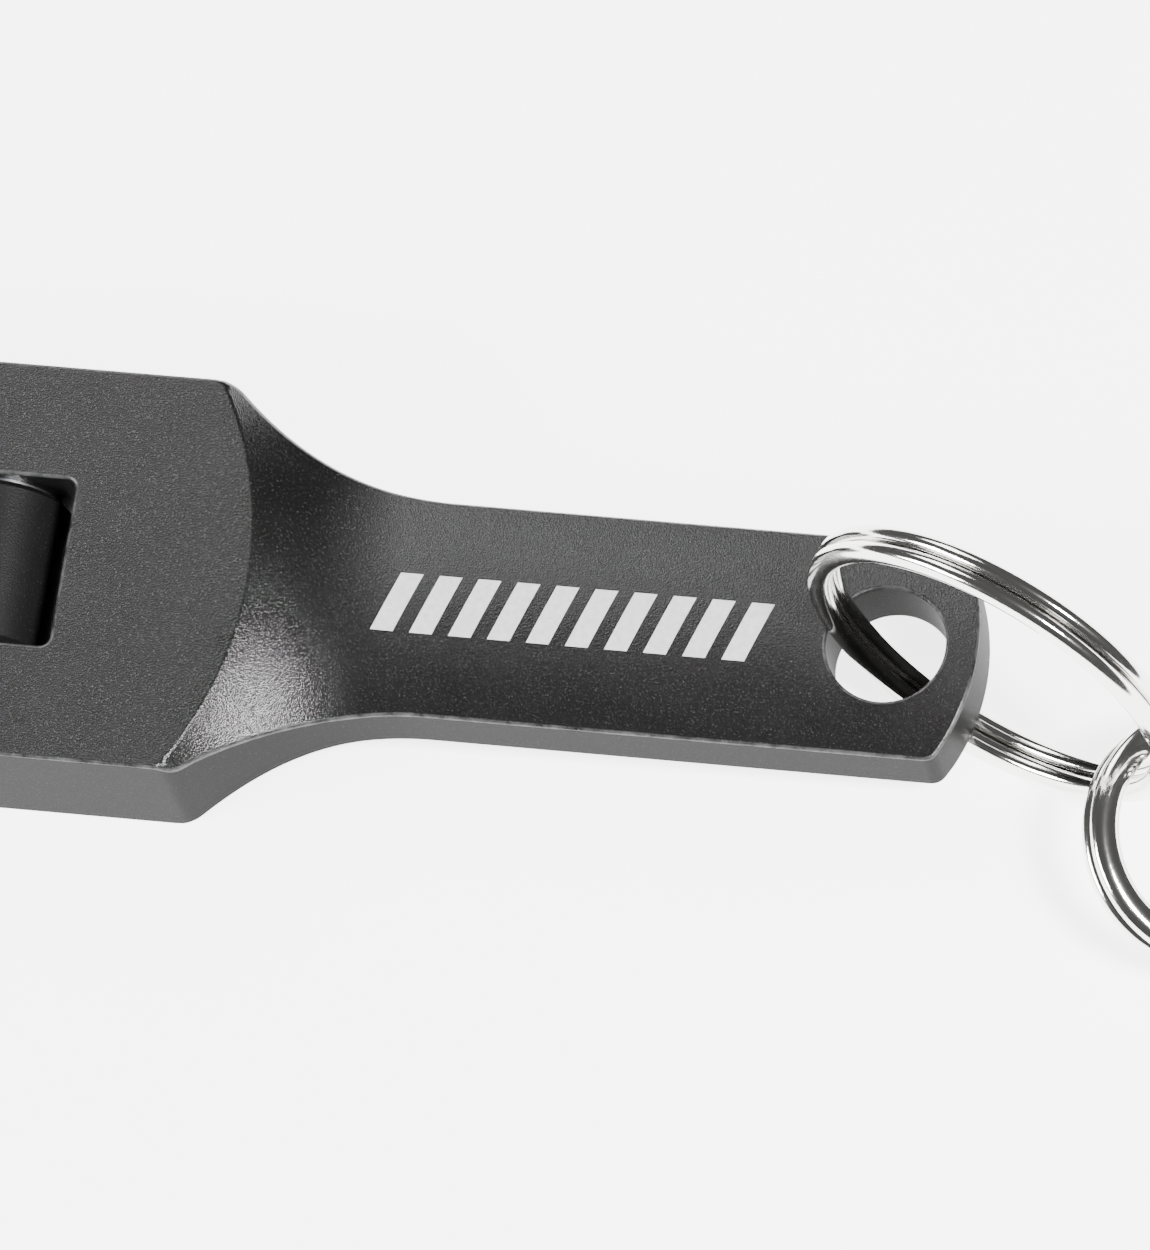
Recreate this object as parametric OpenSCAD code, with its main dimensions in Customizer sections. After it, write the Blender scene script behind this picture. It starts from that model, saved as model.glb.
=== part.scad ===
// Keychain bottle opener with a roller in its head and two split rings.
// The origin is on the underside, on the centre line, between the window and the neck.
// +X runs to the key ring, +Y across the head, +Z up through the thickness.

/* [Head] */
// Width of the head
head_w = 28.1; // [24:0.5:34]
// Thickness of the head
head_t = 10.4; // [9:0.1:13]
// Distance from the origin to the head's shoulder corner
shoulder_x = 2.8; // [1:0.1:5]
// Radius that rounds each shoulder corner
shoulder_r = 2; // [1:0.1:3]
// Distance from the origin to the tip of the long jaw
jaw_reach = 37; // [34:0.5:44]
// Radius of the long jaw's outer corner
long_corner_r = 7; // [3:0.5:8]
// Radius of the short jaw's outer corner
short_corner_r = 4; // [2:0.5:5]

/* [Mouth] */
// Width of the mouth that takes the edge of a crown cap
mouth_w = 10.5; // [9:0.1:12]
// Metal left between the window and the deepest point of the mouth
mouth_web = 4.5; // [3:0.1:6]
// Slant of the mouth
mouth_angle = 15; // [8:1:20]
// How far the short jaw stands back from the tip of the long one
lip_setback = 6; // [4:0.5:9]
// Height of the lip that hooks under the cap
lip_h = 1.8; // [1:0.1:2.4]
// Length of the lip
lip_len = 3.2; // [2.4:0.1:4]

/* [Window] */
// Length of the window, along the opener
window_len = 12.4; // [12:0.1:14]
// Width of the window, across the head
window_w = 12; // [10:0.1:13]
// Corner radius of the window
window_r = 0.7; // [0.3:0.1:1.5]
// Distance from the origin to the window
window_gap = 6; // [4:0.1:8]

/* [Roller] */
// Clearance between the roller and each flat face of the head
roller_inset = 0.05; // [0.05:0.05:0.5]
// Chamfer on the roller's ends
roller_chamfer = 0.45; // [0.2:0.05:0.8]
// Diameter of the pin that the roller turns on
pin_d = 3; // [2.4:0.1:4]
// Radial clearance between the roller and its pin
pin_fit = 0.05; // [0.02:0.01:0.08]
// Diameter of the pin's head
pin_head_d = 5.4; // [4.6:0.1:6.4]
// Thickness of the pin's head
pin_head_t = 1.5; // [1:0.1:2]
// How far the pin's end reaches into the far side of the head
pin_end = 5; // [3:0.1:6]
// Width of the screwdriver slot
slot_w = 0.8; // [0.5:0.1:1.2]
// Depth of the screwdriver slot
slot_depth = 0.7; // [0.4:0.1:1]
// Thickness of a thrust washer
washer_t = 0.25; // [0.15:0.05:0.3]
// Diameter of a thrust washer
washer_d = 8.6; // [6:0.1:9.4]
// End play between the roller and each washer
end_play = 0.05; // [0.03:0.01:0.1]

/* [Neck] */
// Radius of the round edge where the flat head ends
face_r = 26.3; // [24:0.1:34]
// Distance from the origin to that edge, on the centre line
face_x = 6.7; // [5:0.1:8]
// Radius of the hollow that falls from the head to the handle
dish_r = 17.7; // [12:0.1:24]
// Radius of the hollow sides of the neck
neck_r = 22.7; // [18:0.1:28]

/* [Handle] */
// Width of the handle
handle_w = 15.4; // [14:0.1:18]
// Thickness of the handle at its edges
handle_t = 4.48; // [3.6:0.01:5.4]
// Rise of the crowned top above the handle's edges
crown_h = 0.8; // [0.4:0.05:1.1]
// How far the handle's edges sit above the middle of the head's thickness
handle_lift = 0.14; // [0:0.02:0.3]
// Distance from the origin to the tail end
tail_x = 55.9; // [48:0.1:66]
// Radius of the rounded tail end
tail_r = 15; // [12:0.5:24]
// Diameter of the ring hole
hole_d = 8; // [7:0.1:9]
// Metal left between the ring hole and the tail end
bridge = 2.25; // [1.8:0.05:3]
// Chamfer on the ring hole
hole_chamfer = 0.15; // [0.1:0.05:0.4]

/* [Split ring] */
// Radius at the middle of the wire
ring_r = 13; // [12:0.1:16]
// Width of the wire, measured outward
ring_wire_w = 1.7; // [1.4:0.1:1.9]
// Thickness of the two coils together
ring_wire_t = 2.6; // [2.2:0.1:3]
// Distance from the hole's centre back to the wire that passes through it
ring_back = 0.58; // [0:0.01:1]
// Distance from the hole's centre to the wire, across the handle
ring_across = 0.67; // [0:0.01:1]
// Turn of the ring from the centre line
ring_yaw = 21.4; // [15:0.1:30]
// Lean of the ring from upright
ring_lean = 5; // [4:0.5:9]

/* [Link ring] */
// Radius at the middle of the wire
link_r = 7.9; // [6:0.1:10]
// Width of the wire, measured outward
link_wire_w = 2; // [1.4:0.1:2.4]
// Thickness of the two coils together
link_wire_t = 3; // [1.6:0.1:3.6]

// Height of the split ring's wire where the link ring hangs on it
link_hang = 8.07; // [6:0.01:10]
// Distance from that wire to the link ring's centre, along the opener
link_ahead = 3.79; // [2:0.01:5]
// Distance from that wire to the link ring's centre, across the opener
link_side = 3.47; // [2:0.01:5]
// Tilt of the link ring, with one side on the table and the other on the split ring
link_tilt = 29; // [20:0.5:40]
// Direction in which the link ring slopes down
link_turn = 10; // [0:0.5:20]

/* [Hidden] */
$fn = 96;
eps = 0.01;
far = 120;

mid_z = head_t / 2;
head_half = head_w / 2;
handle_half = handle_w / 2;

// The sides of the neck: each hollow arc is tangent to the handle and to its shoulder's round
neck_y = handle_half + neck_r;
corner_y = head_half - shoulder_r;
neck_x = shoulder_x + sqrt(pow(neck_r + shoulder_r, 2) - pow(neck_y - corner_y, 2));
touch = neck_r / (neck_r + shoulder_r);
touch_x = neck_x - touch * (neck_x - shoulder_x);
touch_y = neck_y - touch * (neck_y - corner_y);

// The hollow that falls from the flat head to the handle's edge height
dish_drop = (head_t - handle_t) / 2;
dish_len = sqrt(2 * dish_r * dish_drop - dish_drop * dish_drop);
crown_r = (handle_half * handle_half + crown_h * crown_h) / (2 * crown_h);
handle_bottom = mid_z + handle_lift - handle_t / 2;
handle_top = handle_bottom + handle_t + crown_h;

// The window, the roller and its pin
window_x = -window_gap - window_len / 2;
roller_r = head_t / 2 - roller_inset;
roller_len = window_w - 2 * (washer_t + end_play);

// The mouth is a slot with a round end, slanted towards the short jaw
mouth_x = window_x - window_len / 2 - mouth_web - mouth_w / 2;
lip_x = -jaw_reach + lip_setback;

hole_x = tail_x - bridge - hole_d / 2;

// The split ring stands on the table, and its wire passes through the hole halfway up the handle
ring_z = (ring_r + ring_wire_w / 2) * cos(ring_lean) + ring_wire_t / 2 * sin(ring_lean);
ring_reach = sqrt(pow(ring_r, 2) - pow(ring_z - handle_bottom - handle_t / 2, 2));
ring_x = hole_x - ring_back + ring_reach * cos(ring_yaw);
ring_y = ring_across - ring_reach * sin(ring_yaw);

// The link ring lies on the table and hangs on the split ring's far side
hang_reach = sqrt(pow(ring_r, 2) - pow(ring_z - link_hang, 2));
link_x = ring_x + hang_reach * cos(ring_yaw) + link_ahead;
link_y = ring_y - hang_reach * sin(ring_yaw) - link_side;
link_z = (link_r + link_wire_w / 2) * sin(link_tilt) + link_wire_t / 2 * cos(link_tilt);

module at_pin() {
    translate([window_x, 0, mid_z])
        rotate([-90, 0, 0])
            children();
}

// One jaw's outline: a straight bar whose outer front corner is rounded
module jaw_plan(front_x, corner_r) {
    translate([front_x + corner_r, 0])
        square([-front_x - corner_r + shoulder_x, head_half]);
    translate([front_x, 0])
        square([corner_r + eps, head_half - corner_r]);
    translate([front_x + corner_r, head_half - corner_r])
        circle(r = corner_r);
}

// Outline of the head: a long jaw on one side of the mouth and a short one on the other
module head_plan() {
    difference() {
        union() {
            jaw_plan(-jaw_reach, long_corner_r);
            mirror([0, 1])
                jaw_plan(lip_x, short_corner_r);
        }
        mouth_plan();
    }
    lip_plan();
}

// The mouth is a slanted slot with a round end
module mouth_plan() {
    translate([mouth_x, 0])
        rotate(mouth_angle) {
            circle(d = mouth_w);
            translate([-far, -mouth_w / 2])
                square([far, mouth_w]);
        }
}

// The lip stands up from the short jaw's tip, with a sharp toe and a slope behind it
module lip_plan() {
    inner = (mouth_x - lip_x + mouth_w / 2 * sin(mouth_angle)) / cos(mouth_angle);
    translate([mouth_x, 0])
        rotate(mouth_angle)
            translate([-inner, -mouth_w / 2])
                polygon([
                    [0, -lip_h],
                    [0, 0.4 * lip_h],
                    [0.5, lip_h],
                    [lip_len, 0],
                    [lip_len, -lip_h]
                ]);
}

// Outline of the neck and the handle, out to the tail
module handle_plan() {
    for (side = [-1, 1])
        translate([shoulder_x, side * corner_y])
            circle(r = shoulder_r);
    difference() {
        polygon([
            [shoulder_x, -corner_y],
            [touch_x, -touch_y],
            [neck_x, -touch_y],
            [neck_x, touch_y],
            [touch_x, touch_y],
            [shoulder_x, corner_y]
        ]);
        for (side = [-1, 1])
            translate([neck_x, side * neck_y])
                circle(r = neck_r, $fn = 240);
    }
    intersection() {
        translate([neck_x - eps, -handle_half])
            square([tail_x - neck_x + eps, handle_w]);
        union() {
            translate([neck_x - eps, -handle_half])
                square([hole_x - neck_x, handle_w]);
            translate([tail_x - tail_r, 0])
                circle(r = tail_r, $fn = 180);
        }
    }
}

// The flat head, with a hollow falling away from its round edge on both faces
module head_block() {
    translate([face_x - face_r, 0, mid_z])
        rotate_extrude($fn = 360)
            difference() {
                translate([0, -head_t / 2])
                    square([face_r + dish_len, head_t]);
                for (side = [-1, 1])
                    translate([face_r + dish_len, side * (handle_t / 2 + dish_r) + handle_lift])
                        circle(r = dish_r, $fn = 180);
            }
}

// The handle is flat underneath and crowned on top
module handle_bar() {
    intersection() {
        translate([0, -far / 2, handle_bottom])
            cube([far, far, head_t]);
        translate([0, 0, handle_top - crown_r])
            rotate([0, 90, 0])
                cylinder(r = crown_r, h = far, $fn = 360);
    }
}

module window_cut() {
    inner_len = window_len - 2 * window_r;
    inner_w = window_w - 2 * window_r;
    translate([window_x, 0, -eps]) {
        translate([-window_len / 2, -inner_w / 2, 0])
            cube([window_len, inner_w, head_t + 2 * eps]);
        translate([-inner_len / 2, -window_w / 2, 0])
            cube([inner_len, window_w, head_t + 2 * eps]);
        for (i = [-1, 1], j = [-1, 1])
            translate([i * inner_len / 2, j * inner_w / 2, 0])
                cylinder(r = window_r, h = head_t + 2 * eps);
    }
}

module pin_cut() {
    at_pin() {
        translate([0, 0, -head_half - eps])
            cylinder(d = pin_head_d, h = pin_head_t + eps);
        translate([0, 0, -head_half])
            cylinder(d = pin_d, h = head_half + window_w / 2 + pin_end);
    }
}

module hole_cut() {
    flare = hole_d + 2 * hole_chamfer;
    translate([hole_x, 0, 0]) {
        cylinder(d = hole_d, h = head_t);
        translate([0, 0, handle_top - hole_chamfer])
            cylinder(d1 = hole_d, d2 = flare + 2, h = hole_chamfer + 1);
        translate([0, 0, handle_bottom - 1])
            cylinder(d1 = flare + 2, d2 = hole_d, h = hole_chamfer + 1);
    }
}

module body() {
    color([0.09, 0.09, 0.1])
        difference() {
            union() {
                intersection() {
                    linear_extrude(head_t)
                        head_plan();
                    head_block();
                }
                intersection() {
                    linear_extrude(head_t)
                        handle_plan();
                    union() {
                        head_block();
                        handle_bar();
                    }
                }
            }
            window_cut();
            pin_cut();
            hole_cut();
        }
}

module roller() {
    color([0.07, 0.07, 0.08])
        at_pin()
            rotate_extrude($fn = 180)
                polygon([
                    [pin_d / 2 + pin_fit, -roller_len / 2],
                    [roller_r - roller_chamfer, -roller_len / 2],
                    [roller_r, -roller_len / 2 + roller_chamfer],
                    [roller_r, roller_len / 2 - roller_chamfer],
                    [roller_r - roller_chamfer, roller_len / 2],
                    [pin_d / 2 + pin_fit, roller_len / 2]
                ]);
}

module roller_pin() {
    color([0.6, 0.6, 0.62])
        at_pin()
            difference() {
                union() {
                    translate([0, 0, -head_half])
                        cylinder(d = pin_head_d, h = pin_head_t);
                    translate([0, 0, -head_half + eps])
                        cylinder(d = pin_d, h = head_half + window_w / 2 + pin_end - eps);
                }
                translate([-far / 2, -slot_w / 2, -head_half - 1])
                    cube([far, slot_w, slot_depth + 1]);
            }
}

module thrust_washers() {
    color([0.75, 0.75, 0.77])
        at_pin()
            for (side = [0, 1])
                mirror([0, 0, side])
                    translate([0, 0, window_w / 2 - washer_t])
                        difference() {
                            cylinder(d = washer_d, h = washer_t);
                            translate([0, 0, -1])
                                cylinder(r = pin_d / 2 + pin_fit, h = washer_t + 2);
                        }
}

// Two coils of rounded wire side by side, with a groove between them.
// Each coil's end is a narrow gap in its own layer.
module coil_ring(radius, wire_w, wire_t) {
    coil_t = wire_t / 2;
    round_r = sqrt(pow(wire_w / 2, 2) + pow(coil_t / 4, 2));
    gap = 0.5;
    difference() {
        for (layer = [-1, 1])
            rotate_extrude($fn = 180)
                translate([radius, layer * coil_t / 2])
                    intersection() {
                        square([wire_w, coil_t + 2 * eps], center = true);
                        circle(r = round_r);
                    }
        for (layer = [0, 1])
            rotate([180 * layer, 0, 35])
                translate([0, -gap / 2, 0.05])
                    cube([far, gap, wire_t]);
    }
}

// A ring's own axis is Z: turned upright, then leaned and yawed
module at_split_ring() {
    translate([ring_x, ring_y, ring_z])
        rotate([0, 0, -ring_yaw])
            rotate([90 - ring_lean, 0, 0])
                children();
}

module split_ring() {
    color([0.85, 0.85, 0.86])
        at_split_ring()
            coil_ring(ring_r, ring_wire_w, ring_wire_t);
}

module link_ring() {
    color([0.85, 0.85, 0.86])
        translate([link_x, link_y, link_z])
            rotate([0, link_tilt, -link_turn])
                coil_ring(link_r, link_wire_w, link_wire_t);
}

body();
roller();
roller_pin();
thrust_washers();
split_ring();
link_ring();
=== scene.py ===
# %% [markdown]
# # A wrench-shaped keychain bottle opener
#
# The real opener is one machined bar of aluminium, bead-blasted and anodised black, with a
# roller in a window in its head and two nickel-plated split rings at its tail. The packed
# model gives every size and joint. This script adds what a camera sees: softened edges, the
# blasted grain, the laser mark, wire that is really wound twice, and a small photo studio.

import math

import bpy
import numpy as np
from mathutils import Matrix, Vector
from mathutils.geometry import delaunay_2d_cdt


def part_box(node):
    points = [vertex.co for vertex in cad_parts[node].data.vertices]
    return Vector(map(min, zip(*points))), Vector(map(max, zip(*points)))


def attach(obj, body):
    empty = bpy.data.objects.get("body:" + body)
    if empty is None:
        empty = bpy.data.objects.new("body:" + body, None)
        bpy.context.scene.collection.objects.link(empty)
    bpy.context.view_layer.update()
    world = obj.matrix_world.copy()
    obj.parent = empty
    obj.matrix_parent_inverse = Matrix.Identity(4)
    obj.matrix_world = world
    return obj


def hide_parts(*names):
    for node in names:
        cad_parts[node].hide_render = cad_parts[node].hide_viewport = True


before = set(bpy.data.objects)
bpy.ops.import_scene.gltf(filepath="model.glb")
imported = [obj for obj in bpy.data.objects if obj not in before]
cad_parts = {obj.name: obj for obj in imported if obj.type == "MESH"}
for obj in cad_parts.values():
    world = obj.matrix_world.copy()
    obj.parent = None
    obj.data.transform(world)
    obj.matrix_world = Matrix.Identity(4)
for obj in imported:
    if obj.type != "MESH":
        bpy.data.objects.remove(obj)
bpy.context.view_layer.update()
MM = 0.001
print("CAD nodes:", sorted(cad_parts))

# %% [markdown]
# ## Reading sizes from the frame
#
# Positions come from the CAD nodes' own boxes, so the visual pieces follow the CAD model.
# Sizes that a box can't give, such as the radius of the neck's hollow, repeat the values of
# the CAD source, in millimetres.

# %% Sizes, in millimetres
body_low, body_high = (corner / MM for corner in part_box("body"))
roller_low, roller_high = (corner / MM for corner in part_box("roller"))
pin_low, pin_high = (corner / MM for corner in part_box("roller_pin"))

HEAD_T = body_high.z
MID_Z = HEAD_T / 2
HEAD_HALF = body_high.y
TAIL_X = body_high.x
TIP_X = body_low.x
WINDOW_X = (roller_low.x + roller_high.x) / 2
WINDOW_LEN, WINDOW_W, WINDOW_R = 12.4, 12.0, 0.7
MOUTH_R, MOUTH_WEB, MOUTH_ANGLE = 5.25, 4.5, math.radians(15)
MOUTH_X = WINDOW_X - WINDOW_LEN / 2 - MOUTH_WEB - MOUTH_R
LONG_CORNER, SHORT_CORNER, LIP_SETBACK = 7.0, 4.0, 6.0
LIP_H, LIP_LEN = 1.8, 3.2
SHOULDER_X, SHOULDER_R, NECK_R = 2.8, 2.0, 22.7
FACE_R, FACE_X, DISH_R = 26.3, 6.7, 17.7
HANDLE_HALF, HANDLE_T, CROWN_H, HANDLE_LIFT = 7.7, 4.48, 0.8, 0.14
TAIL_R, HOLE_R, BRIDGE = 15.0, 4.0, 2.25
HOLE_X = TAIL_X - BRIDGE - HOLE_R
RING_R, RING_WIRE = 13.0, (1.7, 2.6)
LINK_R, LINK_WIRE = 7.9, (2.0, 3.0)
RING_YAW, RING_LEAN = math.radians(-21.4), math.radians(90 - 5)
LINK_TILT, LINK_TURN = math.radians(29), math.radians(-10)
EDGE, CORNER_ROUND, TAIL_ROUND = 0.26, 0.3, 1.2
print(f"head {2 * HEAD_HALF:.1f} x {HEAD_T:.1f} mm, body {TAIL_X - TIP_X:.1f} mm long")

# %% [markdown]
# ## The camera
#
# The opener is seen from above its tail with a long lens, rolled a little so that the handle
# slopes gently down to the right. The camera comes first, because framing decides how much
# detail each part needs. Two directions fix its turn: the one it looks along, and the one
# that points right in its frame. The second is made square to the first, and up follows.

# %% Camera
VIEW_DIR = Vector((-0.194, 0.348, -0.917)).normalized()
VIEW_RIGHT = Vector((0.9774, 0.1487, -0.1507))
VIEW_RIGHT = (VIEW_RIGHT - VIEW_DIR * VIEW_RIGHT.dot(VIEW_DIR)).normalized()
VIEW_UP = VIEW_RIGHT.cross(VIEW_DIR)
LENS, SENSOR = 500, 36
FRAME_WIDTH = 76.67
AIM_RIGHT, AIM_DOWN = 34.17, 4.2
window_edge = Vector((WINDOW_X + WINDOW_LEN / 2, 0, HEAD_T))
aim = window_edge + AIM_RIGHT * VIEW_RIGHT - AIM_DOWN * VIEW_UP
distance = FRAME_WIDTH * LENS / SENSOR

camera = bpy.data.objects.new("camera", bpy.data.cameras.new("camera"))
camera.data.lens = LENS
camera.data.sensor_fit = "HORIZONTAL"
camera.data.sensor_width = SENSOR
camera.data.clip_start = 0.01
axes = Matrix((VIEW_RIGHT, VIEW_UP, -VIEW_DIR)).transposed()
camera.matrix_world = Matrix.Translation((aim - VIEW_DIR * distance) * MM) @ axes.to_4x4()
bpy.context.scene.collection.objects.link(camera)
bpy.context.scene.camera = camera
print(f"camera {distance:.0f} mm away with a {LENS} mm lens")

# %% [markdown]
# ## Helpers for meshes
#
# Every mesh here is built from numbers with `from_pydata`. A normal for each vertex is worked
# out along with it, so that broad faces shade flat and edges shade round.

# %% Mesh helper
def add_mesh(name, verts, faces, normals=None, body="opener"):
    """A mesh object in millimetres, with smooth shading and its own normals, on a CAD body."""
    mesh = bpy.data.meshes.new(name)
    mesh.from_pydata([tuple(v) for v in np.asarray(verts, float) * MM], [], faces)
    mesh.validate()
    mesh.shade_smooth()
    if normals is not None:
        mesh.normals_split_custom_set_from_vertices([tuple(n) for n in normals])
    obj = bpy.data.objects.new(name, mesh)
    bpy.context.scene.collection.objects.link(obj)
    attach(obj, body)
    print(f"{name}: {len(mesh.vertices)} vertices, {len(mesh.polygons)} faces")
    return obj


def arc(cx, cy, r, start, end, step=2.5):
    """Points on an arc, from start to end in degrees."""
    count = max(2, int(abs(end - start) / step) + 1)
    angles = np.radians(np.linspace(start, end, count))
    return np.column_stack([cx + r * np.cos(angles), cy + r * np.sin(angles)])


# %% [markdown]
# ## The outline of the body
#
# Seen from above, the body is one closed line: two jaws, a slanted mouth, straight sides, a
# neck of two hollow arcs, and a handle with a rounded end. Straight stretches need only their
# ends, and one more point near each shoulder, which keeps the shading of the flat head flat.
# Sharp corners get a small round of their own, as blasting leaves them.

# %% Outline
def tilted(x, y):
    """A point given along and across the slanted mouth."""
    c, s = math.cos(MOUTH_ANGLE), math.sin(MOUTH_ANGLE)
    return (MOUTH_X + x * c - y * s, x * s + y * c)


SHOULDER_GUARD, SEAT_WALL, TAIL_TRIM = 0.6, 4, 6


def body_outline():
    """The body's plan, anticlockwise from the tail."""
    neck_y = HANDLE_HALF + NECK_R
    corner_y = HEAD_HALF - SHOULDER_R
    reach = math.sqrt((NECK_R + SHOULDER_R) ** 2 - (neck_y - corner_y) ** 2)
    neck_x = SHOULDER_X + reach
    lean = math.degrees(math.atan2(neck_y - corner_y, reach))
    tail_angle = math.degrees(math.asin(HANDLE_HALF / TAIL_R))
    tail_corner = TAIL_X - TAIL_R + math.sqrt(TAIL_R**2 - HANDLE_HALF**2)
    slant = math.degrees(MOUTH_ANGLE)
    lip_x = TIP_X + LIP_SETBACK
    half_side = [
        arc(neck_x, neck_y, NECK_R, 270, 180 + lean, 1),
        arc(SHOULDER_X, corner_y, SHOULDER_R, lean, 90, 8),
    ]
    lower_side = [points[::-1] * (1, -1) for points in half_side[::-1]]
    reach_up = (MOUTH_X - TIP_X - MOUTH_R * math.sin(MOUTH_ANGLE)) / math.cos(MOUTH_ANGLE)
    reach_low = (MOUTH_X - lip_x + MOUTH_R * math.sin(MOUTH_ANGLE)) / math.cos(MOUTH_ANGLE)
    pieces = [
        [(tail_corner, -HANDLE_HALF)],
        arc(TAIL_X - TAIL_R, 0, TAIL_R, TAIL_TRIM - tail_angle, tail_angle - TAIL_TRIM, 1.5),
        [(tail_corner, HANDLE_HALF)],
        *half_side,
        [(SHOULDER_X - SHOULDER_GUARD, HEAD_HALF)],
        arc(TIP_X + LONG_CORNER, HEAD_HALF - LONG_CORNER, LONG_CORNER, 90, 180, 3),
        [tilted(-reach_up, MOUTH_R)],
        arc(MOUTH_X, 0, MOUTH_R, 90 + slant, slant - 90, 3),
        [
            tilted(-reach_low + LIP_LEN, -MOUTH_R),
            tilted(-reach_low + 0.5, LIP_H - MOUTH_R),
            tilted(-reach_low, 0.4 * LIP_H - MOUTH_R),
            tilted(-reach_low, -MOUTH_R),
        ],
        arc(lip_x + SHORT_CORNER, SHORT_CORNER - HEAD_HALF, SHORT_CORNER, 180, 270, 4),
        [(WINDOW_X - SEAT_WALL, -HEAD_HALF), (WINDOW_X + SEAT_WALL, -HEAD_HALF)],
        [(SHOULDER_X - SHOULDER_GUARD, -HEAD_HALF)],
        *lower_side,
    ]
    return np.vstack(pieces)


def soften_corners(points, least=14):
    """Replaces each corner that turns by more than `least` degrees with a small curve."""
    out = []
    count = len(points)
    for i in range(count):
        before, here, after = points[i - 1], points[i], points[(i + 1) % count]
        a = (here - before) / max(np.linalg.norm(here - before), 1e-9)
        b = (after - here) / max(np.linalg.norm(after - here), 1e-9)
        turn = math.atan2(a[0] * b[1] - a[1] * b[0], a @ b)
        if abs(math.degrees(turn)) < least:
            out.append(here)
            continue
        room = 0.45 * min(np.linalg.norm(here - before), np.linalg.norm(after - here))
        size = TAIL_ROUND if here[0] > HOLE_X else CORNER_ROUND
        cut = min(size * math.tan(abs(turn) / 2), room)
        start, end = here - a * cut, here + b * cut
        for t in np.linspace(0, 1, 6):
            out.append((1 - t) ** 2 * start + 2 * t * (1 - t) * here + t * t * end)
    return np.array(out)


def distinct(points, gap=0.02):
    """Drops points that lie on the one before."""
    keep = [np.linalg.norm(p - q) > gap for p, q in zip(points, np.roll(points, 1, axis=0))]
    return points[keep]


outer = distinct(soften_corners(distinct(body_outline())))
corner_x, corner_y = WINDOW_LEN / 2 - WINDOW_R, WINDOW_W / 2 - WINDOW_R
window = np.vstack([
    arc(WINDOW_X + corner_x, -corner_y, WINDOW_R, 0, -90, 15),
    arc(WINDOW_X - corner_x, -corner_y, WINDOW_R, -90, -180, 15),
    arc(WINDOW_X - corner_x, corner_y, WINDOW_R, 180, 90, 15),
    arc(WINDOW_X + corner_x, corner_y, WINDOW_R, 90, 0, 15),
])
hole = arc(HOLE_X, 0, HOLE_R, 0, -357, 3)
print(f"outline of {len(outer)} points, window {len(window)}, ring hole {len(hole)}")

# %% [markdown]
# ## The two faces of the body
#
# The head's faces are flat. Past a round edge, each falls along a hollow to the handle, which
# is flat underneath and gently crowned on top. Both faces are a height over the plan. The
# crown fades in along the hollow, so the one runs into the other with no crease.

# %% Height of each face
def hollow(x, y):
    """How far down the hollow a point is: 1 on the flat head, 0 on the handle."""
    drop = HEAD_T / 2 - HANDLE_T / 2
    length = math.sqrt(2 * DISH_R * drop - drop * drop)
    r = np.hypot(x - (FACE_X - FACE_R), y)
    along = np.clip(FACE_R + length - r, 0, length)
    return (DISH_R - np.sqrt(DISH_R**2 - along**2)) / drop


def top_z(x, y):
    """Height of the upper face. The crown is an arc across the handle."""
    crown_r = (HANDLE_HALF**2 + CROWN_H**2) / (2 * CROWN_H)
    crown = CROWN_H - crown_r + np.sqrt(crown_r**2 - np.minimum(np.abs(y), 14) ** 2)
    floor = HANDLE_T / 2 + HANDLE_LIFT + crown
    return MID_Z + floor + (HEAD_T / 2 - floor) * hollow(x, y)


def bottom_z(x, y):
    """Height of the lower face."""
    floor = HANDLE_T / 2 - HANDLE_LIFT
    return MID_Z - floor - (HEAD_T / 2 - floor) * hollow(x, y)


def surface_normal(height, x, y, sign):
    """Unit normals of a face that is a height over the plan, from its slope around a point."""
    d = 0.05
    gx = (height(x + d, y) - height(x - d, y)) / (2 * d)
    gy = (height(x, y + d) - height(x, y - d)) / (2 * d)
    n = np.column_stack([-gx, -gy, np.ones_like(gx)]) * sign
    return n / np.linalg.norm(n, axis=1, keepdims=True)


# %% [markdown]
# ## The body as one mesh
#
# The real body is milled from one bar, so it is one closed mesh. A bevelled extrusion would
# be quicker, but the hollow neck and the crowned handle need a height at every point. So the
# plan is filled with triangles once for each face, and each point is lifted to its height.
# These helpers work on loops of points in plan.

# %% Helpers for loops
def outward(loop):
    """Unit normals in plan, pointing out of the metal."""
    along = np.roll(loop, -1, axis=0) - np.roll(loop, 1, axis=0)
    n = np.column_stack([along[:, 1], -along[:, 0]])
    return n / np.linalg.norm(n, axis=1, keepdims=True)


def inside(points, loop):
    """Which points lie inside a loop, by counting crossings."""
    x, y = points[:, 0][:, None], points[:, 1][:, None]
    x0, y0 = loop.T
    x1, y1 = np.roll(loop, -1, axis=0).T
    crosses = (y0 > y) != (y1 > y)
    at = (x1 - x0) * (y - y0) / np.where(y1 == y0, 1e-12, y1 - y0) + x0
    return (crosses & (x < at)).sum(1) % 2 == 1


def clear_of(points, loops, gap):
    """Drops points that lie closer to a loop than the gap."""
    edge = np.vstack(loops)
    keep = np.ones(len(points), bool)
    for i in range(0, len(points), 500):
        block = points[i : i + 500]
        near = np.linalg.norm(block[:, None] - edge[None], axis=2).min(1)
        keep[i : i + 500] = near > gap
    return points[keep]


# %% [markdown]
# ### Triangles for each face
#
# Each face is a Delaunay triangulation of the plan: the outline's loops, arcs that follow the
# hollow, and a grid on the handle. Flat metal needs no points of its own, so most of them go
# where the surface bends.

# %% Face triangles
HOLLOW_ROWS, GRID_X, GRID_Y, CLEARANCE = 12, 0.7, 0.55, 0.28


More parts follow.
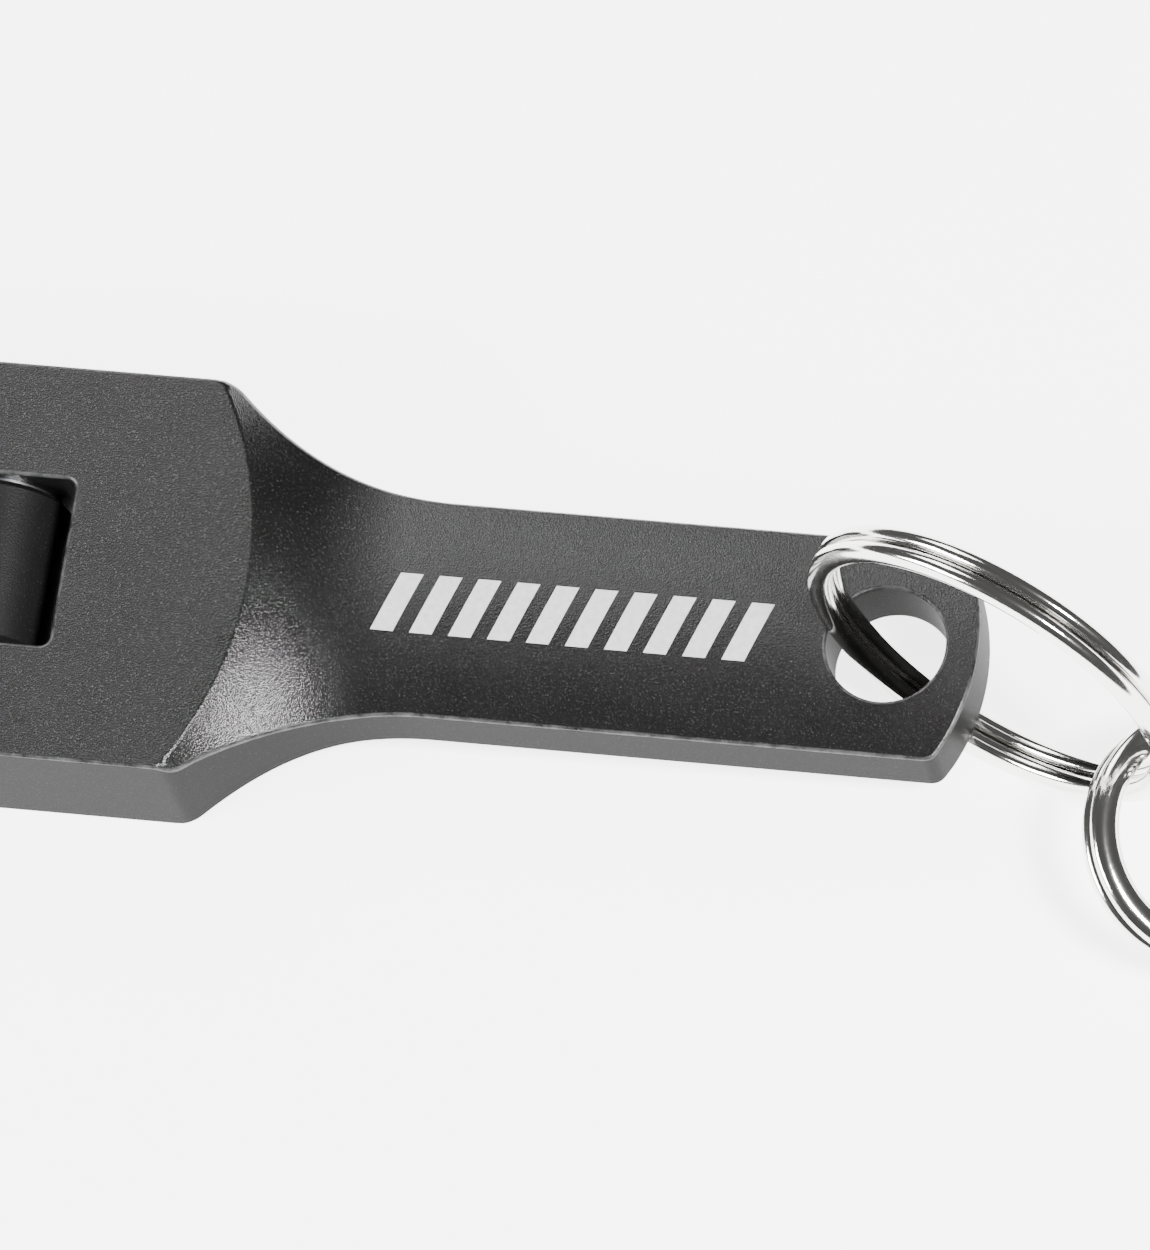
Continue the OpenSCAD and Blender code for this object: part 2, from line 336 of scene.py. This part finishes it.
def face_grid(loops):
    """Points inside the plan: arcs along the hollow and its edge, and a grid on the handle."""
    centre = FACE_X - FACE_R
    rows = [arc(centre, 0, FACE_R + dr, -36, 36, 1) for dr in (-0.15, 0, 0.15)]
    rows += [arc(centre, 0, FACE_R + dr, -32, 32, 1) for dr in np.arange(0.6, HOLLOW_ROWS, 0.5)]
    xs = np.arange(centre + FACE_R + HOLLOW_ROWS + 0.2, TAIL_X, GRID_X)
    ys = np.arange(-HANDLE_HALF + 0.45, HANDLE_HALF, GRID_Y)
    rows.append(np.array([(x, y) for x in xs for y in ys]))
    points = np.vstack(rows)
    points = points[inside(points, loops[0])]
    for loop in loops[1:]:
        points = points[~inside(points, loop)]
    return clear_of(points, loops, CLEARANCE)


def triangulate(loops):
    """Plan triangles between the loops. The loops' points come first, in order."""
    points = np.vstack(loops + [face_grid(loops)])
    edges, start = [], 0
    for loop in loops:
        n = len(loop)
        edges += [(start + i, start + (i + 1) % n) for i in range(n)]
        start += n
    result = delaunay_2d_cdt([Vector(p) for p in points], edges, [], 0, 1e-5)
    verts = np.array([tuple(v) for v in result[0]])
    tris = np.array([f for f in result[2] if len(f) == 3])
    middle = verts[tris].mean(1)
    keep = inside(middle, loops[0])
    for loop in loops[1:]:
        keep &= ~inside(middle, loop)
    a, b, c = (verts[tris[:, i]] for i in range(3))
    area = (b[:, 0] - a[:, 0]) * (c[:, 1] - a[:, 1]) - (b[:, 1] - a[:, 1]) * (c[:, 0] - a[:, 0])
    tris = np.where(area[:, None] < 0, tris[:, ::-1], tris)
    origin = {v: i for i, sources in enumerate(result[3]) for v in sources}
    return verts, tris[keep], origin


# %% [markdown]
# ### Rims and walls
#
# Every loop is inset to leave room for a rounded edge. Four more rows of points turn the face
# over into the wall, each with its own normal, so the edge catches the light as blasted metal
# does. The walls then join the two faces. The rounded rows carry a value that later lightens
# their colour: partly edge wear, partly a painted highlight along the edges.

# %% Shell of the body
RIM_ANGLES = np.radians((20, 45, 70, 90))


def seat_starts(k, point):
    """Whether this outline point starts the side wall that holds the seat of the pin's head."""
    corner = np.array([WINDOW_X - SEAT_WALL, -HEAD_HALF])
    return k == 0 and bool(np.abs(point - corner).max() < 1e-6)


def build_body():
    """Vertices, faces, normals, edge wear with its painted edge highlight, and the four corners
    of the seat's wall.
    """
    loops = [outer, window, hole]
    verts, faces, normals, wear_and_highlight = [], [], [], []
    rims = {}
    for side, height in ((1, top_z), (-1, bottom_z)):
        inset = [loop - outward(loop) * EDGE for loop in loops]
        plan, tris, origin = triangulate(inset)
        base = sum(len(v) for v in verts)
        z = height(plan[:, 0], plan[:, 1])
        verts.append(np.column_stack([plan, z]))
        normals.append(surface_normal(height, plan[:, 0], plan[:, 1], side))
        wear_and_highlight.append(np.zeros(len(plan)))
        faces += [tuple(t + base) if side > 0 else tuple(t[::-1] + base) for t in tris]
        start = 0
        for k, loop in enumerate(loops):
            n, out = len(loop), outward(loop)
            rings = [[base + origin[start + i] for i in range(n)]]
            for angle in RIM_ANGLES:
                flat = loop - out * EDGE * (1 - math.sin(angle))
                drop = EDGE * (1 - math.cos(angle))
                at = sum(len(v) for v in verts)
                z = height(loop[:, 0], loop[:, 1]) - side * drop
                up = surface_normal(height, loop[:, 0], loop[:, 1], side)
                wall = np.column_stack([out, np.zeros(n)])
                verts.append(np.column_stack([flat, z]))
                blend = up * math.cos(angle) + wall * math.sin(angle)
                normals.append(blend / np.linalg.norm(blend, axis=1, keepdims=True))
                # Rounded rows get 1: edge wear, and a painted highlight along the edge.
                wear_and_highlight.append(np.full(n, 1.0 if angle < RIM_ANGLES[-1] else 0.0))
                rings.append(list(range(at, at + n)))
            for low, high in zip(rings[:-1], rings[1:]):
                for i in range(n):
                    j = (i + 1) % n
                    quad = (low[i], high[i], high[j], low[j])
                    faces.append(quad if side > 0 else quad[::-1])
            rims[side, k] = rings[-1]
            start += n
    for k, loop in enumerate(loops):
        top, bottom, n = rims[1, k], rims[-1, k], len(loop)
        for i in range(n):
            j = (i + 1) % n
            if seat_starts(k, loop[i]):
                seat = (top[i], bottom[i], bottom[j], top[j])
                continue
            faces.append((top[i], bottom[i], bottom[j], top[j]))
    verts, normals = np.vstack(verts), np.vstack(normals)
    return verts, faces, normals, np.concatenate(wear_and_highlight), seat


# %% [markdown]
# ### The seat of the pin's head
#
# The head of the roller's pin sits in a shallow round seat in one side wall. A boolean would
# leave ragged triangles there, so the flat wall is filled again around a ring of points.

# %% Pin seat
def add_pin_seat(verts, faces, normals, wear_and_highlight, seat, radius, depth):
    """Opens a round seat in one side wall, between the four rim vertices of that wall."""
    count, lip = 64, 0.12
    angles = np.linspace(0, 2 * math.pi, count, endpoint=False)
    ring = np.column_stack([np.cos(angles), np.zeros(count), np.sin(angles)])
    centre = np.array([WINDOW_X, -HEAD_HALF, MID_Z])
    start = len(verts)
    # The seat's lip row is marked like the other rounded edges: wear and a painted highlight.
    rows = [(radius + lip, 0, (0, -1, 0), 0), (radius, lip, None, 1), (radius, depth, None, 0)]
    new_verts, new_normals, new_wear_and_highlight = [], [], []
    for r, deep, normal, worn_and_lit in rows:
        new_verts.append(centre + ring * r + (0, deep, 0))
        new_normals.append(np.tile(normal, (count, 1)) if normal else -ring)
        new_wear_and_highlight.append(np.full(count, float(worn_and_lit)))
    corners = np.array([verts[v] for v in seat])[:, [0, 2]]
    plan = np.vstack([corners, new_verts[0][:, [0, 2]]])
    edges = [(4 + i, 4 + (i + 1) % count) for i in range(count)]
    edges += [(i, (i + 1) % 4) for i in range(4)]
    result = delaunay_2d_cdt([Vector(p) for p in plan], edges, [], 0, 1e-5)
    origin = {i: s[0] for i, s in enumerate(result[3])}
    index = list(seat) + list(range(start, start + count))
    flat = np.array([tuple(v) for v in result[0]])
    for tri in result[2]:
        middle = flat[list(tri)].mean(0) - (WINDOW_X, MID_Z)
        if np.linalg.norm(middle) < (radius + lip) * 0.98:
            continue
        a, b, c = flat[list(tri)]
        ccw = (b[0] - a[0]) * (c[1] - a[1]) - (b[1] - a[1]) * (c[0] - a[0]) > 0
        ids = [index[origin[v]] for v in tri]
        faces.append(tuple(ids if ccw else ids[::-1]))
    for row in range(2):
        for i in range(count):
            j = (i + 1) % count
            a, b = start + row * count, start + (row + 1) * count
            faces.append((a + j, b + j, b + i, a + i))
    faces.append(tuple(start + 2 * count + i for i in range(count)))
    verts = np.vstack([verts] + new_verts)
    normals = np.vstack([normals] + new_normals)
    return verts, faces, normals, np.concatenate([wear_and_highlight] + new_wear_and_highlight)


# %% Body piece
PIN_FIT, SEAT_DEPTH = 0.05, 0.9
seat_r = (pin_high.x - pin_low.x) / 2 + PIN_FIT
verts, faces, normals, wear_and_highlight = add_pin_seat(*build_body(), seat_r, SEAT_DEPTH)
body = add_mesh("body_finished", verts, faces, normals)
wear_and_highlight_layer = body.data.attributes.new("wear_and_highlight", "FLOAT", "POINT")
wear_and_highlight_layer.data.foreach_set("value", wear_and_highlight.astype(np.float32))
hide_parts("body")

# %% [markdown]
# ## Split rings
#
# A split ring is one wire wound twice, with a short step where it climbs from one layer to
# the next. The step, the two cut ends and the groove between the coils are what make it
# read as a real key ring, so the wire is swept along that path with a softly squared section.

# %% Split ring mesh
HALF_STEP = math.radians(13)
WIRE_ROWS, WIRE_SIDES, WIRE_GAP = 420, 24, 0.012
END_TAPER = (0.72, 0.92, 0.99)
SECTION_POWER = 2 / 2.15


def split_ring(name, node, radius, wire, rotation):
    """A wire wound twice in place of a CAD ring. It has two turns less a step, and its ends
    taper over a few rows."""
    wire_w, wire_t = wire
    layer = wire_t / 4
    ts = np.linspace(HALF_STEP, 4 * math.pi - HALF_STEP, WIRE_ROWS)
    climb = np.clip((ts - 2 * math.pi) / HALF_STEP * 0.5 + 0.5, 0, 1)
    climb = climb * climb * (3 - 2 * climb)
    height = -layer + 2 * layer * climb
    angles = np.linspace(0, 2 * math.pi, WIRE_SIDES, endpoint=False)
    c, s = np.cos(angles), np.sin(angles)
    px = np.sign(c) * np.abs(c) ** SECTION_POWER * wire_w / 2
    pz = np.sign(s) * np.abs(s) ** SECTION_POWER * (wire_t / 4 - WIRE_GAP)
    verts = []
    for i, (t, h) in enumerate(zip(ts, height)):
        from_end = min(i, WIRE_ROWS - 1 - i)
        k = END_TAPER[from_end] if from_end < len(END_TAPER) else 1
        r = radius + px * k
        verts.append(np.column_stack([r * math.cos(t), r * math.sin(t), h + pz * k]))
    n = WIRE_SIDES
    faces = []
    for i in range(WIRE_ROWS - 1):
        for j in range(n):
            k = (j + 1) % n
            faces.append((i * n + j, (i + 1) * n + j, (i + 1) * n + k, i * n + k))
    faces.append(tuple(range(n)))
    faces.append(tuple((WIRE_ROWS - 1) * n + j for j in reversed(range(n))))
    low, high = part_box(node)
    centre = (low + high) / 2 / MM
    points = np.vstack(verts) @ np.array(rotation).T + np.array(centre)
    piece = add_mesh(name, points, faces, body=node)
    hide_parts(node)
    return piece


big_turn = Matrix.Rotation(RING_YAW, 3, "Z") @ Matrix.Rotation(RING_LEAN, 3, "X")
small_turn = Matrix.Rotation(LINK_TURN, 3, "Z") @ Matrix.Rotation(LINK_TILT, 3, "Y")
big_ring = split_ring("split_ring_wire", "split_ring", RING_R, RING_WIRE, big_turn)
small_ring = split_ring("link_ring_wire", "link_ring", LINK_R, LINK_WIRE, small_turn)

# %% [markdown]
# ## Materials
#
# Effects that several finishes share are node groups with named sockets: the grain that
# bead-blasting leaves, rubbed edges that also carry a painted highlight, and marks from
# handling. The shaders stay in the materials. These helpers keep the node code short.

# %% Node helpers
def new_group(name, inputs, outputs):
    group = bpy.data.node_groups.new(name, "ShaderNodeTree")
    for socket, value in inputs:
        item = group.interface.new_socket(socket, in_out="INPUT", socket_type="NodeSocketFloat")
        item.default_value = value
    for socket in outputs:
        group.interface.new_socket(socket, in_out="OUTPUT", socket_type="NodeSocketFloat")
    return group, group.nodes.new("NodeGroupInput"), group.nodes.new("NodeGroupOutput")


def link(tree, source, target):
    tree.links.new(source, target)


def place_group(tree, group, **values):
    """A node group placed in a material, with its own values on the named sockets."""
    node = tree.nodes.new("ShaderNodeGroup")
    node.node_tree = group
    for socket, value in values.items():
        node.inputs[socket].default_value = value
    return node


def math_node(tree, operation, a, b=None, c=None, clamp=False):
    """A math node's output. Each operand is a number or another node's output."""
    node = tree.nodes.new("ShaderNodeMath")
    node.operation = operation
    node.use_clamp = clamp
    for i, value in enumerate((a, b, c)):
        if value is None:
            continue
        if isinstance(value, (int, float)):
            node.inputs[i].default_value = value
        else:
            link(tree, value, node.inputs[i])
    return node.outputs[0]


def noise(tree, scale, detail, roughness=0.5):
    """Noise over the object's own coordinates, in metres."""
    node = tree.nodes.new("ShaderNodeTexNoise")
    node.inputs["Detail"].default_value = detail
    node.inputs["Roughness"].default_value = roughness
    if isinstance(scale, (int, float)):
        node.inputs["Scale"].default_value = scale
    else:
        link(tree, scale, node.inputs["Scale"])
    link(tree, tree.nodes.new("ShaderNodeTexCoord").outputs["Object"], node.inputs["Vector"])
    return node.outputs["Fac"]


# %% [markdown]
# ### The blasted grain
#
# Bead-blasting leaves a skin of tiny dents. Fine noise and Voronoi cells, added together, give
# their height. The brightest grains also give a mask for glints, which the materials paint in
# as painted highlights, and slow noise gives a mottle.

# %% Blasted grain
blast, blast_in, blast_out = new_group(
    "blasted_grain", [("Scale", 6000.0), ("Sparkle", 0.5)], ["Height", "Glint", "Mottle"])
grain = noise(blast, blast_in.outputs["Scale"], 3, 0.65)
cells = blast.nodes.new("ShaderNodeTexVoronoi")
link(blast, blast.nodes.new("ShaderNodeTexCoord").outputs["Object"], cells.inputs["Vector"])
link(blast, blast_in.outputs["Scale"], cells.inputs["Scale"])
pits = cells.outputs["Distance"]
height = math_node(blast, "ADD", math_node(blast, "MULTIPLY", pits, 0.9), grain)
link(blast, height, blast_out.inputs["Height"])
bright = math_node(blast, "SUBTRACT", grain, 0.6)
bright = math_node(blast, "MULTIPLY", bright, 7, clamp=True)
glint = math_node(blast, "MULTIPLY", bright, blast_in.outputs["Sparkle"])
link(blast, glint, blast_out.inputs["Glint"])
link(blast, noise(blast, 260, 4), blast_out.inputs["Mottle"])
print("group", blast.name)

# %% [markdown]
# ### Rubbed edges with painted highlights, and handling marks
#
# The rounded edges of the black pieces are lightened, partly because a rubbed edge's coat thins
# in patches and partly as a painted highlight along the edge, so the mesh's value for them is
# broken up by noise. Bright metal picks up fine scratches and broader smudges, which are noise
# at two scales.

# %% Rubbed edges with painted highlights, and handling marks
rubbed_and_lit, rubbed_and_lit_in, rubbed_and_lit_out = new_group("rubbed_and_lit_edges", [("Scale", 900.0)], ["Edge"])
# The mesh's edge value: wear and a painted highlight along the rounded edges.
worn_and_lit = rubbed_and_lit.nodes.new("ShaderNodeAttribute")
worn_and_lit.attribute_name = "wear_and_highlight"
patches = noise(rubbed_and_lit, rubbed_and_lit_in.outputs["Scale"], 4)
patches = math_node(rubbed_and_lit, "MULTIPLY_ADD", patches, 1.6, -0.45, clamp=True)
rubbed_and_lit_edge = math_node(rubbed_and_lit, "MULTIPLY", worn_and_lit.outputs["Fac"], patches)
link(rubbed_and_lit, rubbed_and_lit_edge, rubbed_and_lit_out.inputs["Edge"])

handled, handled_in, handled_out = new_group(
    "handling_marks", [("Scale", 1500.0)], ["Scratches", "Smudge"])
scratches = noise(handled, handled_in.outputs["Scale"], 5, 0.6)
link(handled, scratches, handled_out.inputs["Scratches"])
smudge_scale = math_node(handled, "DIVIDE", handled_in.outputs["Scale"], 6)
link(handled, noise(handled, smudge_scale, 4), handled_out.inputs["Smudge"])
print("groups", rubbed_and_lit.name, "and", handled.name)

# %% [markdown]
# ### Black anodised aluminium
#
# Anodising leaves metal that is nearly black and fairly rough, so it is a dark dielectric coat
# over metal: a low base colour, a broad sheen of reflection, and grain that breaks the
# reflection into tiny glints. The brightest grains are also painted lighter in the base colour
# and made metallic, as painted glints. Rounded edges are lightened to grey along the mesh's
# edge attribute, partly as wear and partly as a painted edge highlight.

# %% Body material
# The second value lightens the rounded edges: wear and a painted edge highlight.
GRAIN_HEIGHT, EDGE_WEAR_AND_HIGHLIGHT, MARK_TONE = 0.00006, 0.09, 0.55


def anodised(name, base, roughness, grain_scale, grain_depth, sparkle, ior=1.45, marked=False):
    material = bpy.data.materials.new(name)
    material.use_nodes = True
    tree = material.node_tree
    shader = tree.nodes["Principled BSDF"]
    skin = place_group(tree, blast, Scale=grain_scale, Sparkle=sparkle)
    bump = tree.nodes.new("ShaderNodeBump")
    bump.inputs["Strength"].default_value = grain_depth
    bump.inputs["Distance"].default_value = GRAIN_HEIGHT
    link(tree, skin.outputs["Height"], bump.inputs["Height"])
    link(tree, bump.outputs["Normal"], shader.inputs["Normal"])
    tone = math_node(tree, "MULTIPLY_ADD", skin.outputs["Mottle"], 0.004, base)
    # The brightest grains are painted lighter in the base colour: painted glints.
    tone = math_node(tree, "ADD", tone, math_node(tree, "MULTIPLY", skin.outputs["Glint"], 0.3))
    rough = math_node(tree, "MULTIPLY_ADD", skin.outputs["Mottle"], 0.03, roughness)
    edge = place_group(tree, rubbed_and_lit, Scale=900.0).outputs["Edge"]
    # Rounded edges turn grey: partly wear, partly a painted highlight along the edges.
    tone = math_node(tree, "MULTIPLY_ADD", edge, EDGE_WEAR_AND_HIGHLIGHT, tone)
    if marked:
        mask = laser_mark(tree)
        tone = math_node(tree, "MULTIPLY_ADD", mask, MARK_TONE, tone)
        rough = math_node(tree, "MULTIPLY_ADD", mask, 0.2, rough)
    colour = tree.nodes.new("ShaderNodeCombineColor")
    for socket in ("Red", "Green", "Blue"):
        link(tree, tone, colour.inputs[socket])
    link(tree, colour.outputs["Color"], shader.inputs["Base Color"])
    link(tree, rough, shader.inputs["Roughness"])
    # The same painted glints are also made metallic.
    link(tree, skin.outputs["Glint"], shader.inputs["Metallic"])
    shader.inputs["IOR"].default_value = ior
    return material


# %% [markdown]
# ### The laser mark
#
# The handle carries a pale laser-etched mark. Here it is a row of slanted bars: a plain
# pattern worked out from the position along and across the handle, with no lettering.

# %% Laser mark
MARK_MIDDLE, MARK_LEN, MARK_H = 29.0, 26.5, 4.2
BAR_PITCH, BAR_SHARE, BAR_SLANT = 2.65, 0.58, 0.35


def laser_mark(tree):
    """A mask that is bright on the bars, on the upper face only."""
    place = tree.nodes.new("ShaderNodeSeparateXYZ")
    link(tree, tree.nodes.new("ShaderNodeTexCoord").outputs["Object"], place.inputs[0])
    x = math_node(tree, "MULTIPLY", place.outputs["X"], 1 / MM)
    y = math_node(tree, "MULTIPLY", place.outputs["Y"], 1 / MM)
    z = math_node(tree, "MULTIPLY", place.outputs["Z"], 1 / MM)
    skewed = math_node(tree, "MULTIPLY_ADD", y, -BAR_SLANT, x)
    begun = math_node(tree, "SUBTRACT", skewed, MARK_MIDDLE - MARK_LEN / 2)
    phase = math_node(tree, "FRACT", math_node(tree, "DIVIDE", begun, BAR_PITCH))
    inks = [
        math_node(tree, "LESS_THAN", phase, BAR_SHARE),
        math_node(tree, "LESS_THAN", math_node(tree, "ABSOLUTE", y), MARK_H / 2),
        math_node(tree, "GREATER_THAN", begun, 0.0),
        math_node(tree, "LESS_THAN", begun, MARK_LEN),
        math_node(tree, "GREATER_THAN", z, MID_Z),
    ]
    mask = inks[0]
    for ink in inks[1:]:
        mask = math_node(tree, "MULTIPLY", mask, ink)
    uneven = math_node(tree, "MULTIPLY_ADD", noise(tree, 2600, 3), 0.5, 0.7)
    return math_node(tree, "MULTIPLY", mask, uneven)


# %% [markdown]
# ### Painting the black pieces
#
# The broad faces carry the grain and the mark. The milled side walls are smoother, and a low
# IOR makes them duller, which dims their reflection of the glowing sheet as a painted shade.
# They get a material of their own, chosen by how steep each face is.

# %% Paint the body and the roller
def paint(obj, material):
    obj.data.materials.clear()
    obj.data.materials.append(material)


black = anodised("black_anodised", 0.003, 0.22, 8500, 0.33, 0.14, marked=True)
# A dimmed copy for the steep walls: its low IOR is painted shade.
shaded_walls = anodised("black_walls_shaded", 0.004, 0.45, 9000, 0.1, 0.1, ior=1.1)
paint(body, black)
body.data.materials.append(shaded_walls)
WALL_SLOPE = 0.25
is_wall = [abs(face.normal.z) < WALL_SLOPE for face in body.data.polygons]
body.data.polygons.foreach_set("material_index", np.array(is_wall, dtype=np.int32))
paint(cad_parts["roller"], anodised("black_roller", 0.004, 0.3, 8000, 0.15, 0.1))
print(f"{sum(is_wall)} wall faces of {len(is_wall)}")

# %% [markdown]
# ### Nickel plate and steel
#
# The rings are polished nickel over steel wire: a mirror with a warm grey tint, and fine
# marks from handling that break up its highlights. The pin and washers are steel.

# %% Metal materials
SCRATCH_HEIGHT = 0.00003


def bright_metal(name, colour, roughness, scratch_scale, scratch_depth):
    material = bpy.data.materials.new(name)
    material.use_nodes = True
    tree = material.node_tree
    shader = tree.nodes["Principled BSDF"]
    shader.inputs["Base Color"].default_value = (*colour, 1)
    shader.inputs["Metallic"].default_value = 1.0
    marks = place_group(tree, handled, Scale=float(scratch_scale))
    rough = math_node(tree, "MULTIPLY_ADD", marks.outputs["Smudge"], 0.1, roughness)
    link(tree, rough, shader.inputs["Roughness"])
    bump = tree.nodes.new("ShaderNodeBump")
    bump.inputs["Strength"].default_value = scratch_depth
    bump.inputs["Distance"].default_value = SCRATCH_HEIGHT
    link(tree, marks.outputs["Scratches"], bump.inputs["Height"])
    link(tree, bump.outputs["Normal"], shader.inputs["Normal"])
    return material


nickel = bright_metal("nickel", (0.80, 0.79, 0.77), 0.06, 1500, 0.25)
steel = bright_metal("washer_steel", (0.62, 0.62, 0.64), 0.22, 2500, 0.3)
pin_steel = bright_metal("pin_steel", (0.42, 0.42, 0.44), 0.3, 2500, 0.4)
paint(big_ring, nickel)
paint(small_ring, nickel)
paint(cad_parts["thrust_washers"], steel)
paint(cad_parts["roller_pin"], pin_steel)
print("metals:", nickel.name, steel.name, pin_steel.name)

# %% [markdown]
# ## The studio
#
# The opener lies on a white sheet under three soft lights. The black faces mostly show what
# they reflect, so the lights' places matter more than their power. The sheet glows a little,
# which keeps it pale and puts a soft light on the walls.

# %% Floor and lights
floor_mesh = bpy.data.meshes.new("floor")
REACH = 3.0
corners = [(-REACH, -REACH, 0), (REACH, -REACH, 0), (REACH, REACH, 0), (-REACH, REACH, 0)]
floor_mesh.from_pydata(corners, [], [(0, 1, 2, 3)])
floor = bpy.data.objects.new("floor", floor_mesh)
bpy.context.scene.collection.objects.link(floor)
floor_paint = bpy.data.materials.new("white_sheet")
floor_paint.use_nodes = True
floor_shader = floor_paint.node_tree.nodes["Principled BSDF"]
floor_shader.inputs["Base Color"].default_value = (0.86, 0.86, 0.86, 1)
floor_shader.inputs["Roughness"].default_value = 0.9
floor_shader.inputs["Specular IOR Level"].default_value = 0.1
floor_shader.inputs["Emission Color"].default_value = (1, 1, 1, 1)
floor_shader.inputs["Emission Strength"].default_value = 3.6
floor_mesh.materials.append(floor_paint)

world = bpy.data.worlds.new("studio")
bpy.context.scene.world = world
world.use_nodes = True
world.node_tree.nodes["Background"].inputs["Color"].default_value = (1, 1, 1, 1)
world.node_tree.nodes["Background"].inputs["Strength"].default_value = 0.1


LIT_POINT = Vector((0.02, 0, 0))


def softbox(name, place, width, height, power):
    """A rectangular light, in metres and watts, that faces the opener."""
    data = bpy.data.lights.new(name, "AREA")
    data.shape = "RECTANGLE"
    data.size, data.size_y = width, height
    data.energy = power
    lamp = bpy.data.objects.new(name, data)
    lamp.location = place
    lamp.rotation_euler = (LIT_POINT - Vector(place)).to_track_quat("-Z", "Y").to_euler()
    bpy.context.scene.collection.objects.link(lamp)
    print(f"{name}: {power} W")


softbox("back_left", (-0.40, 0.68, 0.85), 0.5, 0.6, 8)
softbox("right", (0.62, -0.22, 0.95), 0.22, 0.24, 36)
softbox("left_front", (-0.75, -0.45, 0.45), 0.5, 0.35, 22)
